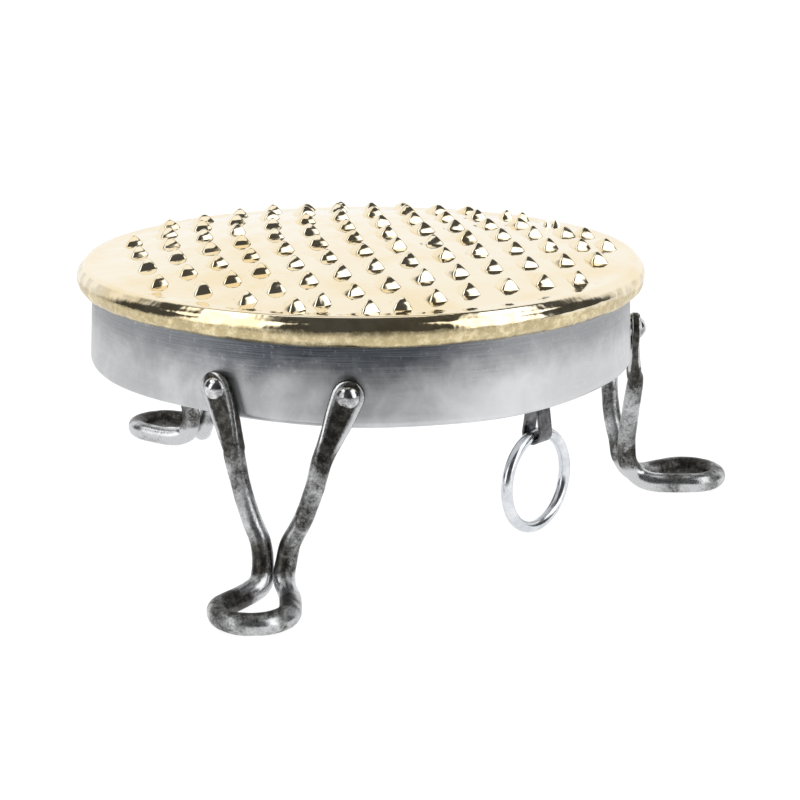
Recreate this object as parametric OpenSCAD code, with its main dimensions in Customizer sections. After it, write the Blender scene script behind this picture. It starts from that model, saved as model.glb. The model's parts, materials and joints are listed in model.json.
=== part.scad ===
// Coal forge: a sheet steel fire pan on three bent-bar legs, with a bossed brass lid.
// Millimetres. +Z is up, the floor is z = 0, and the box of the whole forge is centred on the origin in X and Y.

/* [Pan] */
// Outer radius of the pan at its lower edge
pan_r = 160; // [120:1:220]
// Outer radius of the pan at its mouth
mouth_r = 157.9; // [118:0.1:220]
// Height of the underside of the pan above the floor
pan_z = 95.3; // [60:0.1:160]
// Height of the top of the rolled mouth above the floor
mouth_z = 152.3; // [120:0.1:220]
// Thickness of the pan sheet
sheet_t = 2; // [1:0.1:4]
// Outside radius of the bottom corner
corner_r = 3.5; // [2:0.5:12]
// Diameter of the wire inside the rolled mouth
mouth_wire_d = 5; // [3:0.5:8]

/* [Lid] */
// Radius of the lid over its rolled rim
lid_r = 166.8; // [125:0.1:230]
// Height of the middle of the lid plate above the floor
lid_top = 165.5; // [150:0.5:220]
// Height of the flat border of the lid plate above the floor
border_z = 154; // [140:0.5:200]
// Height of the lower edge of the rolled rim above the floor
rim_z = 140; // [120:0.5:190]
// Thickness of the brass sheet
brass_t = 1.2; // [0.6:0.1:3]
// Diameter of the wire inside the rolled rim
rim_wire_d = 6.6; // [3:0.1:10]

/* [Bosses] */
// Spacing of the bosses along a row
boss_a = 24.4; // [14:0.1:40]
// Direction of the rows
boss_a_dir = 33.5; // [0:0.1:90]
// Spacing from one row to the next, measured along the slant
boss_b = 36.8; // [14:0.1:50]
// Direction of the slant
boss_b_dir = 98.3; // [90:0.1:150]
// How much the rows fan out towards the edge, 0 for straight rows
boss_fan = 1; // [0:0.1:1]
// Largest distance of a boss from the middle of the lid
boss_field_r = 150; // [100:1:151]
// Radius of one boss at its base corners
boss_r = 6.3; // [3:0.1:8]
// Radius at the shoulder, where its steep flanks end
boss_shoulder_r = 4.1; // [1:0.1:8]
// Height of the shoulder above the plate
boss_shoulder_h = 2.2; // [0.5:0.1:5]
// Height of the tip above the plate
boss_h = 4.5; // [2:0.1:10]
// Turn of the boss corners
boss_turn = 65; // [0:1:90]

/* [Legs] */
// Directions of the three legs round the pan
leg_az = [-105.4, 13.2, 129.2];
// Diameter of the leg bar
bar_d = 12; // [8:0.5:20]
// Half angle between the two arms of a leg
arm_half = 12.9; // [6:0.1:25]
// Height of the leg rivets above the floor
rivet_z = 111; // [100:0.1:140]
// Sideways lean of the lower part of each leg, bent by eye
leg_sway = [-2, 0, 1.2]; // [-4:0.1:4]
// Width of the flattened end of an arm
flat_w = 18; // [12:0.5:30]
// Thickness of the flattened end of an arm
flat_t = 5.5; // [3:0.5:10]
// Distance of the middle of the foot loop from the pan axis
loop_c = 209.4; // [180:0.1:260]
// Radius of the foot loop to the middle of the bar
loop_r = 18.8; // [12:0.1:40]
// Depth filed off under each foot so that it stands flat
foot_flat = 0.4; // [0:0.1:2]

/* [Rivets] */
// Shank diameter of a leg rivet
rivet_d = 8; // [5:0.5:12]
// Head diameter of a leg rivet
head_d = 13; // [9:0.5:20]
// Head height of a leg rivet
head_h = 4; // [2:0.5:8]
// Radial clearance round every shank
fit = 0.05; // [0.02:0.01:0.1]

/* [Pull ring] */
// Direction of the pull ring round the pan
ring_az = -45.5; // [-180:0.5:180]
// Direction that the ring and its strap face
ring_turn = -40.8; // [-180:0.1:180]
// Distance of the ring from the pan axis
ring_c = 139.6; // [110:0.1:155]
// Outside diameter of the ring
ring_od = 60.5; // [30:0.5:90]
// Wire diameter of the ring
ring_wire = 6.5; // [4:0.1:10]
// Height of the middle of the ring above the floor
ring_z = 46.5; // [40:0.5:70]
// Width of the strap that carries the ring
strap_w = 11.5; // [8:0.5:25]
// Thickness of the strap
strap_t = 1.5; // [1:0.1:4]
// Width of the strap's fold just under the pan
throat = 7.6; // [5:0.1:12]

/* [Hearth] */
// Radius of the air hole in the pan floor
air_r = 30; // [15:0.5:45]
// Length of the blast socket under the pan
socket_len = 30; // [15:1:44]
// Radius of the fire grate
grate_r = 45; // [32:1:80]
// Thickness of the fire grate
grate_t = 6; // [4:0.5:12]
// Thickness of the fireclay lining
lining_t = 10; // [5:0.5:25]

/* [Output] */
// Piece to draw, or all

/* [Hidden] */
$fn = 96;
steel = [0.55, 0.56, 0.58];
dark = [0.25, 0.25, 0.27];
brass = [0.85, 0.70, 0.35];
zinc = [0.75, 0.77, 0.80];
clay = [0.72, 0.55, 0.42];

// Box of the whole forge about the pan axis: lid on the left, foot loops on the other three sides.
loop_out = loop_r + bar_d / 2;
box_x0 = -lid_r;
box_x1 = loop_c * cos(leg_az[1]) + loop_out;
box_y0 = loop_c * sin(leg_az[0]) - loop_out;
box_y1 = loop_c * sin(leg_az[2]) + loop_out;
mid = [(box_x0 + box_x1) / 2, (box_y0 + box_y1) / 2, 0];

gap = 0.1;                                   // gap between faces that lie on each other
floor_z = pan_z + sheet_t;
seat_r = pan_r + 0.25;                       // inner face of the arm ends
bar_z = bar_d / 2 - foot_flat;               // height of the bar in the foot loop

// Rise of the lid plate at radius r, down to the flat border.
rise = lid_top - border_z;
function plate_z(r) = border_z + rise * (1 - 0.62 * pow(r / 152, 2) - 0.38 * pow(r / 152, 4));
dome_r = [0, 20, 40, 60, 80, 95, 110, 122, 134, 144, 152];

// ---------- pan ----------
bead_in = mouth_wire_d / 2 + 0.1;            // inside of the roll
bead_out = bead_in + sheet_t;                // outside of the roll
bead_c = [mouth_r - bead_out, mouth_z - bead_out];
function arc(c, r, a0, a1, n) =
    [for (i = [0:n]) let (a = a0 + (a1 - a0) * i / n) c + r * [cos(a), sin(a)]];

module pan_profile() {
    polygon(concat(
        [[air_r, pan_z]],
        arc([pan_r - corner_r, pan_z + corner_r], corner_r, -90, 0, 6),
        arc(bead_c, bead_out, 0, 250, 16),
        arc(bead_c, bead_in, 250, 0, 16),
        arc([pan_r - corner_r, pan_z + corner_r], corner_r - sheet_t, 0, -90, 6),
        [[air_r, floor_z]]));
}

module round_leg(i) {
    for (s = [-1, 1])
        rotate([0, 0, leg_az[i] + s * arm_half])
            children();
}

// Places a piece drawn at ring_c on the X axis where the pull ring hangs, turned the way it faces.
module at_ring() {
    translate(ring_c * [cos(ring_az), sin(ring_az), 0]) rotate([0, 0, ring_turn]) translate([-ring_c, 0, 0])
        children();
}

module pan() {
    color(steel)
    translate(-mid)
    difference() {
        rotate_extrude() pan_profile();
        for (i = [0:2]) round_leg(i)
            translate([pan_r - 8, 0, rivet_z]) rotate([0, 90, 0])
                cylinder(h = 16, d = rivet_d + 2 * fit);
        for (a = [45:90:315]) rotate([0, 0, a])
            translate([tuy_pitch, 0, pan_z - 1]) cylinder(h = sheet_t + 2, d = tuy_rivet_d + 2 * fit);
        for (x = strap_rivet_x) at_ring()
            translate([x, 0, pan_z - 1]) cylinder(h = sheet_t + 2, d = strap_rivet_d + 2 * fit);
    }
}

module pan_rim_wire() {
    color(steel)
    translate(-mid)
    rotate_extrude() translate(bead_c) circle(d = mouth_wire_d);
}

// ---------- hearth ----------
tuy_pitch = 38;                              // pitch radius of the socket rivets
tuy_rivet_d = 6;
tuy_head_d = 10;
tuy_head_h = 3;
flange_r = 46;
flange_t = 5;
socket_ro = 30;
socket_ri = 25;
rib = 3;                                     // ring under the grate that drops into the air hole
lining_in = grate_r + 1.5;
lining_out = 149;                            // just inside the rivet heads in the pan

module hearth_lining() {
    color(clay)
    translate(-mid)
    difference() {
        rotate_extrude() polygon([
            [lining_in, floor_z + gap], [lining_out, floor_z + gap], [lining_out, floor_z + lining_t - 3],
            [lining_out - 3, floor_z + lining_t], [lining_in + 5.5, floor_z + lining_t],
            [lining_in, floor_z + lining_t - 3]]);
        for (x = strap_rivet_x) at_ring()
            translate([x, 0, floor_z]) cylinder(h = strap_head_h + 1, d = strap_head_d + 2);
    }
}

module fire_grate() {
    color(dark)
    translate(-mid + [0, 0, floor_z + gap])
    difference() {
        union() {
            cylinder(h = grate_t, r = grate_r);
            translate([0, 0, -sheet_t - 3]) difference() {
                cylinder(h = sheet_t + 3.5, r = air_r - 0.4);
                translate([0, 0, -1]) cylinder(h = sheet_t + 5, r = air_r - 0.4 - rib);
            }
        }
        translate([0, 0, -1]) cylinder(h = grate_t + 2, d = 9);
        for (a = [0:60:300]) rotate([0, 0, a]) {
            translate([9, -3, -1]) cube([14, 6, grate_t + 2]);
            translate([9, 0, -1]) cylinder(h = grate_t + 2, d = 6);
            translate([23, 0, -1]) cylinder(h = grate_t + 2, d = 6);
        }
    }
}

module tuyere_socket() {
    color(dark)
    translate(-mid)
    difference() {
        union() {
            translate([0, 0, pan_z - gap - flange_t]) cylinder(h = flange_t, r = flange_r);
            translate([0, 0, pan_z - socket_len]) cylinder(h = socket_len - gap, r = socket_ro);
        }
        translate([0, 0, pan_z - socket_len - 1]) cylinder(h = socket_len + 2, r = socket_ri);
        translate([0, 0, pan_z - 3.7]) cylinder(h = 7, r = air_r);
        for (a = [45:90:315]) rotate([0, 0, a])
            translate([tuy_pitch, 0, pan_z - 20]) cylinder(h = 25, d = tuy_rivet_d + 2 * fit);
    }
}

module tuyere_rivets() {
    color(steel)
    for (a = [45:90:315])
        translate(-mid) rotate([0, 0, a]) translate([tuy_pitch, 0, 0]) {
            translate([0, 0, pan_z - gap - flange_t - 1])
                cylinder(h = flange_t + sheet_t + 1 + gap, d = tuy_rivet_d);
            translate([0, 0, pan_z - gap - fit - flange_t]) mirror([0, 0, 1]) button(tuy_head_d, tuy_head_h);
        }
}

// Round rivet head: a cap of diameter d and height h, flat face on z = 0.
module button(d, h) {
    r = (d * d / 4 + h * h) / (2 * h);
    intersection() {
        translate([0, 0, h - r]) sphere(r = r);
        cylinder(h = h + 1, d = d + 2);
    }
}

// ---------- lid ----------
rim_in = mouth_r + 0.9;                       // inner edge of the rolled rim
module lid_profile() {
    up = [for (r = dome_r) [r, plate_z(r)]];
    n = len(up);
    polygon(concat(
        up,
        [[lid_r - 8.8, border_z - 0.2], [lid_r - 4.3, border_z - 0.8], [lid_r - 1.8, border_z - 2.1],
         [lid_r - 0.4, border_z - 4.6], [lid_r, border_z - 7.5],
         [lid_r - 0.5, rim_z + 3], [lid_r - 2.4, rim_z + 0.8], [lid_r - 5, rim_z], [rim_in, rim_z],
         [rim_in, rim_z + brass_t], [lid_r - 5, rim_z + brass_t], [lid_r - 3, rim_z + 1.8],
         [lid_r - 1.6, rim_z + 3.6], [lid_r - 1.2, border_z - 7.5], [lid_r - 1.6, border_z - 5],
         [lid_r - 2.7, border_z - 3], [lid_r - 4.8, border_z - 0.8 - brass_t],
         [lid_r - 8.8, border_z - 0.2 - brass_t]],
        [for (i = [n - 1:-1:0]) [up[i][0], up[i][1] - brass_t]]));
}

// Rows of bosses: number of the row, then the first and the last place that it fills.
boss_rows = [[-4, -1, 5], [-3, -3, 6], [-2, -4, 7], [-1, -5, 7], [0, -6, 7],
             [1, -6, 6], [2, -6, 4], [3, -6, 2], [4, -5, 0]];
row_a = boss_a * [cos(boss_a_dir), sin(boss_a_dir)];
row_b = boss_b * [cos(boss_b_dir), sin(boss_b_dir)];
first = [-5.4, -6];                           // place 0 of row 0

// The rows were laid out by eye and fan out a little: u runs along a row, v across the rows.
function fan(u, v) = boss_fan * [
    7.3 * u * u + 9.2 * u * v + 8.3 * v * v
        - 7.7 * pow(u, 3) - 13.3 * u * u * v - 5.2 * u * v * v + 3.5 * pow(v, 3),
    1.1 * u * u + 5.6 * u * v + 9.3 * v * v];
function place(i, j) = first + i * row_a + j * row_b + fan(i / 6, j / 4);
bosses = [for (row = boss_rows, i = [row[1]:row[2]])
          let (p = place(i, row[0]))
          p * min(1, boss_field_r / norm(p))];

// Boss drawn in by the thickness t: four steep flanks up to the shoulder and a low point on them.
root_h = 1.8;                                 // reach of the flanks down into the sloping plate
boss_wall = 0.9;                              // drawn in and down by this, the sheet keeps its thickness
module boss(t) {
    levels = [[boss_r - t, -root_h], [boss_r - t, 0], [boss_shoulder_r - t, boss_shoulder_h]];
    rotate([0, 0, boss_turn])
        polyhedron(
            points = concat([for (l = levels, k = [0:3]) [l[0] * cos(90 * k), l[0] * sin(90 * k), l[1]]],
                            [[0, 0, boss_h]]),
            faces = concat([[0, 1, 2, 3]],
                           [for (n = [0, 4], k = [0:3]) let (m = (k + 1) % 4)
                               [n + m, n + k, n + 4 + k, n + 4 + m]],
                           [for (k = [0:3]) [8 + (k + 1) % 4, 8 + k, 12]]));
}

module lid_plate() {
    color(brass)
    translate(-mid)
    difference() {
        union() {
            rotate_extrude() lid_profile();
            for (p = bosses) translate([p[0], p[1], plate_z(norm(p))]) boss(0);
        }
        for (p = bosses) translate([p[0], p[1], plate_z(norm(p)) - boss_wall]) boss(boss_wall);
    }
}

module lid_rim_wire() {
    color(steel)
    translate(-mid)
    rotate_extrude() translate([lid_r - brass_t - 0.15 - rim_wire_d / 2, border_z - 7.2]) circle(d = rim_wire_d);
}

// ---------- legs ----------
// Middle line of one arm as [out, across, up], from the round bar below the flattened end to the foot loop.
arm = [[165.0, 24.4, 77], [164.4, 19.6, 57], [164.8, 13.9, 41], [166.3, 8.9, 29.5],
       [168.2, 6.8, 18.5], [174.5, 6.6, 9.6], [184, 11.6, bar_z]];
loop_open = 104;                              // end of the loop arc, from the outward direction
sides = 16;                                   // sides of the forged bar's section
half_bar = bar_d / 2;

function unit(v) = v / norm(v);
function at_arm(r, z) = [r * cos(arm_half), r * sin(arm_half), z];

// The forged end: its half width, half thickness and squareness (2 is round) at distances below the rivet.
end_w = [[0, flat_w / 2], [13, flat_w / 2 - 0.9], [22, half_bar + 0.7], [30, half_bar - 0.6],
         [40, half_bar - 0.7], [50, half_bar - 0.4], [62, half_bar]];
end_t = [[0, flat_t / 2], [22, flat_t / 2], [28, half_bar - 2], [35, half_bar - 1.2],
         [42, half_bar - 0.8], [50, half_bar - 0.5], [62, half_bar]];
end_square = [[0, 4], [22, 4], [30, 2.9], [38, 2.2], [48, 2]];
end_steps = [-9, -8.3, -6.5, -4, 0, 4, 8, 13, 18, 22, 25, 28, 32];
down = unit(arm[0] - at_arm(seat_r + half_bar, rivet_z));
end_len = norm(arm[0] - at_arm(seat_r + half_bar, rivet_z));
// Stations [middle, half width, half thickness, squareness].
function station(p, d) = [p, d < 0 ? sqrt(max(0.05, pow(flat_w / 2, 2) - d * d)) : lookup(d, end_w),
                          lookup(d, end_t), lookup(d, end_square)];
flat_end = [for (d = end_steps) station(at_arm(seat_r + lookup(d, end_t), rivet_z) + d * down, d)];

// Smooth curve through the arm's points, then the arc of the foot loop out to its far side.
function catmull(a, b, c, d, t) =
    0.5 * ((2 * b) + (c - a) * t + (2 * a - 5 * b + 4 * c - d) * t * t + (3 * b - a - 3 * c + d) * t * t * t);
loop_pts = [for (g = [loop_open:-13:0]) [loop_c + loop_r * cos(g), loop_r * sin(g), bar_z]];
guide = concat([flat_end[10][0]], arm, [loop_pts[0], loop_pts[1]]);
curve = [for (i = [1:len(guide) - 3], t = [0, 1 / 3, 2 / 3])
         catmull(guide[i - 1], guide[i], guide[i + 1], guide[i + 2], t)];
half_line = concat(flat_end, [for (p = concat(curve, loop_pts)) station(p, end_len + arm[0][2] - p[2])]);

last = len(half_line) - 1;
tangent = [for (i = [0:last]) i == last ? [0, -1, 0]
           : unit(half_line[i + 1][0] - half_line[max(0, i - 1)][0])];
// Width direction of each section, carried along the bar without twist.
width_dir = [for (i = 0, v = [-sin(arm_half), cos(arm_half), 0]; i <= last;
                  i = i + 1, v = i <= last ? unit(v - (v * tangent[i]) * tangent[i]) : v) v];
// One point of a section whose corners are squared off by the power q.
function corner(a, q) = pow(pow(abs(cos(a)), q) + pow(abs(sin(a)), q), -1 / q) * [cos(a), sin(a)];
half_rings = [for (i = [0:last])
    let (st = half_line[i], w = width_dir[i], n = cross(tangent[i], w))
    [for (j = [0:sides - 1]) let (c = corner(360 * j / sides, st[3]))
        st[0] + st[1] * c[0] * w + st[2] * c[1] * n]];
function flip(ring) = [for (p = ring) [p[0], -p[1], p[2]]];
straight_rings = concat(half_rings, [for (i = [last - 1:-1:0]) flip(half_rings[i])]);
// Share of the sway at each height: none in the foot loop and none on the pan.
sway_at = [[0, 0], [6, 0], [14, 1], [35, 1], [60, 0.6], [88, 0.05], [94, 0]];

module leg_bar(sway) {
    rings = [for (ring = straight_rings) [for (p = ring) p + [0, sway * lookup(p[2], sway_at), 0]]];
    n = len(rings);
    quads = [for (i = [0:n - 2], j = [0:sides - 1])
        let (k = (j + 1) % sides)
        each [[i * sides + j, i * sides + k, (i + 1) * sides + k],
              [i * sides + j, (i + 1) * sides + k, (i + 1) * sides + j]]];
    polyhedron(points = [for (r = rings) each r],
               faces = concat(quads, [[for (j = [sides - 1:-1:0]) j],
                                      [for (j = [0:sides - 1]) (n - 1) * sides + j]]));
}

module leg(i) {
    color(dark)
    translate(-mid) rotate([0, 0, leg_az[i]])
    difference() {
        leg_bar(leg_sway[i]);
        translate([100, -60, -10]) cube([160, 120, 10]);
        for (s = [-1, 1]) rotate([0, 0, s * arm_half])
            translate([seat_r - 20, 0, rivet_z]) rotate([0, 90, 0]) cylinder(h = 50, d = rivet_d + 2 * fit);
    }
}

module leg_front() { leg(0); }
module leg_right() { leg(1); }
module leg_rear() { leg(2); }

// ---------- leg rivets and burrs ----------
burr_t = 1.6;
burr_d = 16;
inner_head_d = 11.5;
inner_head_h = 2.8;
burr_out = 157.0;                             // outer face of a burr, just inside the wall
module rivet_pair(i) {
    color(zinc)
    translate(-mid) round_leg(i) translate([0, 0, rivet_z]) rotate([0, 90, 0]) {
        translate([0, 0, burr_out - burr_t - 0.5])
            cylinder(h = seat_r + flat_t + 0.6 - burr_out + burr_t, d = rivet_d);
        translate([0, 0, seat_r + flat_t + fit]) button(head_d, head_h);
        translate([0, 0, burr_out - burr_t - fit]) mirror([0, 0, 1]) button(inner_head_d, inner_head_h);
    }
}
module rivets_front() { rivet_pair(0); }
module rivets_right() { rivet_pair(1); }
module rivets_rear() { rivet_pair(2); }

module burr_pair(i) {
    color(steel)
    translate(-mid) round_leg(i) translate([burr_out - burr_t, 0, rivet_z]) rotate([0, 90, 0])
        difference() {
            cylinder(h = burr_t, d = burr_d);
            translate([0, 0, -1]) cylinder(h = burr_t + 2, d = rivet_d + 2 * fit);
        }
}
module burrs_front() { burr_pair(0); }
module burrs_right() { burr_pair(1); }
module burrs_rear() { burr_pair(2); }

// ---------- pull ring ----------
eye_z = ring_z + (ring_od - ring_wire) / 2;   // middle of the wire where it hangs in the strap
eye_r = 5;                                    // inside of the strap's fold
eye_mid = eye_z + 0.9;                        // middle of the fold, a little above the wire that hangs in it
strap_rivet_d = 5;
strap_head_d = 9;
strap_head_h = 2.6;
strap_rivet_x = [ring_c - 16, ring_c - 28];
tab_in = ring_c - 35;                         // inner end of the strap under the floor

module strap_profile() {
    top = pan_z - gap;
    difference() {
        union() {
            hull() {
                translate([ring_c, eye_mid]) circle(r = eye_r + strap_t);
                translate([ring_c - throat / 2, top - 2]) square([throat - 1, 2]);
                translate([ring_c - throat / 2, top - 2]) square([throat, 1]);
            }
            translate([tab_in, top - 2 * strap_t]) square([ring_c - tab_in, 2 * strap_t]);
        }
        hull() {
            translate([ring_c, eye_mid]) circle(r = eye_r);
            translate([ring_c - throat / 2 + strap_t, top - 2 * strap_t - 1]) square([throat - 2 * strap_t, 1]);
            translate([ring_c - throat / 2 + strap_t + 0.5, top - strap_t - 1]) square([throat - 2 * strap_t - 1, 1]);
        }
    }
}

module ring_strap() {
    color(dark)
    translate(-mid) at_ring()
    difference() {
        translate([0, strap_w / 2, 0]) rotate([90, 0, 0]) linear_extrude(strap_w) strap_profile();
        for (x = strap_rivet_x)
            translate([x, 0, pan_z - 20]) cylinder(h = 30, d = strap_rivet_d + 2 * fit);
    }
}

module strap_rivets() {
    color(steel)
    for (x = strap_rivet_x)
        translate(-mid) at_ring() translate([x, 0, 0]) {
            translate([0, 0, pan_z - gap - 2 * strap_t - 0.5])
                cylinder(h = 2 * strap_t + sheet_t + 1 + gap, d = strap_rivet_d);
            translate([0, 0, floor_z + fit]) button(strap_head_d, strap_head_h);
            translate([0, 0, pan_z - gap - fit - 2 * strap_t]) mirror([0, 0, 1])
                button(strap_head_d, strap_head_h);
        }
}

module pull_ring() {
    color(zinc)
    translate(-mid) at_ring() translate([ring_c, 0, ring_z]) rotate([0, 90, 0])
        rotate_extrude() translate([(ring_od - ring_wire) / 2, 0]) circle(d = ring_wire, $fn = 48);
}

pan();
pan_rim_wire();
hearth_lining();
fire_grate();
tuyere_socket();
tuyere_rivets();
lid_plate();
lid_rim_wire();
leg_front();
leg_right();
leg_rear();
rivets_front();
rivets_right();
rivets_rear();
burrs_front();
burrs_right();
burrs_rear();
ring_strap();
strap_rivets();
pull_ring();
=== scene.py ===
"""Coal forge: polished brass lid with raised bosses, steel fire pan, three forged legs and a pull ring."""
import json
import math
import random

import bpy
from mathutils import Matrix, Vector, geometry, noise


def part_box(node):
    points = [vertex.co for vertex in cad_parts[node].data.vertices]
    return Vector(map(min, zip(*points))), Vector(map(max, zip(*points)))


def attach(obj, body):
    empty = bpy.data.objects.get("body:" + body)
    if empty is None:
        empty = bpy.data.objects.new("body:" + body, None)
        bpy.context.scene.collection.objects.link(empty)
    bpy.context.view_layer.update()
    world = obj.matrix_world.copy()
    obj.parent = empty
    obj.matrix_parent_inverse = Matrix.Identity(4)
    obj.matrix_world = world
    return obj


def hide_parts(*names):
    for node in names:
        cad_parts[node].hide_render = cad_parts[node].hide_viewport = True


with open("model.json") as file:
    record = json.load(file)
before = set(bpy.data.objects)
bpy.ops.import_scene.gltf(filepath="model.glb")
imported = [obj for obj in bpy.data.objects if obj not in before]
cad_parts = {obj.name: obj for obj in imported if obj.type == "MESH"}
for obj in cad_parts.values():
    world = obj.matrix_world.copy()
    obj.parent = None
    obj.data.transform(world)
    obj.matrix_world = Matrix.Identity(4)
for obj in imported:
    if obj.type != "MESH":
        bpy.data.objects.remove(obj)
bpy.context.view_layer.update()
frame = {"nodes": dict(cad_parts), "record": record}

# ---------------------------------------------------------------- driving sizes, millimetres about the pan axis
MM = 0.001
pan_low, pan_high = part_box("pan")
AXIS = Vector(((pan_low.x + pan_high.x) / 2, (pan_low.y + pan_high.y) / 2, 0))
PAN_R = (pan_high.x - pan_low.x) / 2 / MM
PAN_Z = pan_low.z / MM
MOUTH_R = PAN_R - 2.1
MOUTH_Z = pan_high.z / MM
SHEET_T = 2.0
CLEAR = 0.1             # what is left between the pan and a sheet that lies on or under it
CORNER_R = 3.5
BEAD_R = 4.6
PAN_SAG, PAN_SAG_AZ = 3.0, -77.0    # the lower edge sags in front, most of all in this direction

lid_low, lid_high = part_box("lid_plate")
LID_R = (lid_high.x - lid_low.x) / 2 / MM
RIM_Z = lid_low.z / MM
BORDER_Z = RIM_Z + 14
RIM_STEPS = 420
DOME_RISE = 11.5
DOME_R = 152.0
RIM_START = DOME_R + 6.0
BRASS_T = 1.2
# Section of the rolled rim as (out from LID_R, up from BORDER_Z): down the outside, under its lip, and up inside.
RIM_OUTSIDE = ((-7.0, -0.04), (-5.1, -0.2), (-4.5, -0.7), (-3.7, -1.7), (-2.4, -2.9), (-1.3, -4.2), (-0.5, -5.7),
               (-0.15, -7.1), (-0.1, -9.2), (-0.4, -11.6), (-1.2, -13.8), (-2.8, -15.6), (-4.8, -16.4))
RIM_LIP_R, RIM_LIP_UP = MOUTH_R + 2.0, (-16.4, -15.2)
RIM_INSIDE = ((-5.2, -15.2), (-2.6, -12.6), (-1.4, -9.0), (-1.9, -6.2), (-3.3, -4.0), (-4.9, -2.4), (-7.0, -1.5))

# The bosses stand in slanting rows: one step of BOSS_A along a row, one of BOSS_B to the next row, each (mm, degrees).
BOSS_A, BOSS_A_DIR = 24.4, 33.5
BOSS_B, BOSS_B_DIR = 36.8, 98.3
BOSS_FIRST = Vector((-5.4, -6.0))
BOSS_FIELD_R = 146.5
# Each row as (row number, first place, last place).
BOSS_ROWS = ((-4, -1, 5), (-3, -3, 6), (-2, -4, 7), (-1, -5, 7), (0, -6, 7),
             (1, -6, 6), (2, -6, 4), (3, -6, 2), (4, -5, 0))
BOSS_R = 7.9
BOSS_H = 5.5
BOSS_TURN = 65.0        # degrees from +X to a corner of each boss
BOSS_GAP = 0.35         # what is left round a boss that would touch its neighbour or the border
# Rings of a boss as (share of its radius, share of its height, bevel of the corners, bulge of the sides).
BOSS_LEVELS = ((1.0, 0.0, 0.03, 0.08), (0.94, 0.09, 0.05, 0.08), (0.83, 0.285, 0.06, 0.07), (0.68, 0.49, 0.06, 0.05),
               (0.5, 0.68, 0.06, 0.03), (0.3, 0.85, 0.07, 0.02), (0.12, 0.965, 0.1, 0.0))
# Points along one side of a boss outline, as shares of the side, closest at its ends, where the corners are cut back.
SIDE_STEPS = (0.0, 0.05, 0.13, 0.33, 0.5, 0.67, 0.87, 0.95)
OUTLINE = 4 * len(SIDE_STEPS)

ARM_HALF = 12.9         # degrees from a leg's middle line to each of its two rivets
BAR_R = 6.0
FLAT_W, FLAT_T = 18.0, 5.5
RIVET_Z = 111.0
SEAT_R = PAN_R + 0.25
LOOP_R = 18.8
LOOP_Z = BAR_R - 0.4
HEAD_D, HEAD_H = 13.0, 4.0
INNER_HEAD_D, INNER_HEAD_H = 11.4, 2.8
INNER_HEAD_AT = 155.4   # how far the rims of the inner heads are from the pan axis

# Middle line of one arm as (out, across, up), from below the flattened end to the foot loop.
ARM = ((165.0, 24.4, 77), (164.4, 19.6, 57), (164.8, 13.9, 41), (166.3, 8.4, 29.5),
       (168.2, 6.4, 18.5), (174.5, 6.5, 9.6), (184, 11.6, LOOP_Z))
# The forged arm by distance below the rivet: half width, half thickness, how far its middle stands off the seat while
# it is flat, and squareness (2 is round).
END_W = ((0, 9.0), (13, 8.1), (22, 6.9), (30, 6.0), (45, 5.5), (60, 5.3), (76, 5.4), (88, 5.8), (98, 6.0))
END_T = ((0, 2.75), (8, 2.85), (17, 3.4), (30, 4.4), (44, 5.1), (66, 5.5), (82, 5.7), (96, 6.0))
END_OFF = ((0, 2.75), (8, 2.85), (17, 3.4), (22, 3.7), (28, 4.3), (35, 4.8))
END_SQUARE = ((0, 5.5), (20, 5.0), (30, 3.4), (38, 2.5), (48, 2.0))
# Places along the flat end, as distances below the rivet.
FLAT_AT = (-9, -8.7, -8.1, -7, -5.5, -3.5, -1, 2, 5, 8, 11, 14, 17, 20, 22, 24, 26, 28, 30, 32, 34)
# Each leg leans sideways by this much at its neck, and by a share of it at other heights.
SWAY = {"front": -2.0, "right": 0.0, "rear": 1.2}
SWAY_AT = ((0, 0), (6, 0), (14, 1), (35, 1), (60, 0.6), (88, 0.05), (94, 0))

RING_OD, RING_WIRE = 60.5, 6.5
STRAP_W, STRAP_T = 11.5, 1.5
STRAP_TAIL = 35.0       # how far the strap runs inwards under the pan floor
EYE_R, EYE_UP, THROAT = 5.0, 0.9, 7.6


def azimuth(point):
    """Direction of a row-frame point round the pan axis, in degrees."""
    return math.degrees(math.atan2(point[1] - AXIS.y, point[0] - AXIS.x))


def reach(point):
    """Distance of a row-frame point from the pan axis, in millimetres."""
    return math.hypot(point[0] - AXIS.x, point[1] - AXIS.y) / MM


mounts = {m["name"]: m["pos_m"] for m in frame["record"]["mounts"]}
joints = {j["name"]: j for j in frame["record"]["behaviour"]["joints"]}
LEG_AZ = {leg: azimuth(mounts["foot_" + leg]) for leg in ("front", "right", "rear")}
LOOP_C = reach(mounts["foot_front"]) - LOOP_R
RING_C = reach(joints["ring_swing"]["pos_m"])
RING_AT = Vector(joints["ring_swing"]["pos_m"]) / MM - AXIS / MM
RING_TURN = math.degrees(math.atan2(-joints["ring_swing"]["axis"][0], joints["ring_swing"]["axis"][1]))
EYE_Z = RING_AT.z


# ---------------------------------------------------------------- small helpers
def wobble(x, y=0.0, z=0.0, seed=0.0):
    """Smooth noise from -1 to 1, the same on every run."""
    return noise.noise(Vector((x + seed * 7.31, y - seed * 3.17, z + seed * 1.93)))


def smooth(a, b, x):
    """0 at a and 1 at b, with a soft start and end; a may lie above b."""
    t = min(1.0, max(0.0, (x - a) / (b - a)))
    return t * t * (3 - 2 * t)


def spin(point, degrees):
    """A point turned about the Z axis."""
    a = math.radians(degrees)
    return Vector((point[0] * math.cos(a) - point[1] * math.sin(a),
                   point[0] * math.sin(a) + point[1] * math.cos(a), point[2]))


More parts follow.
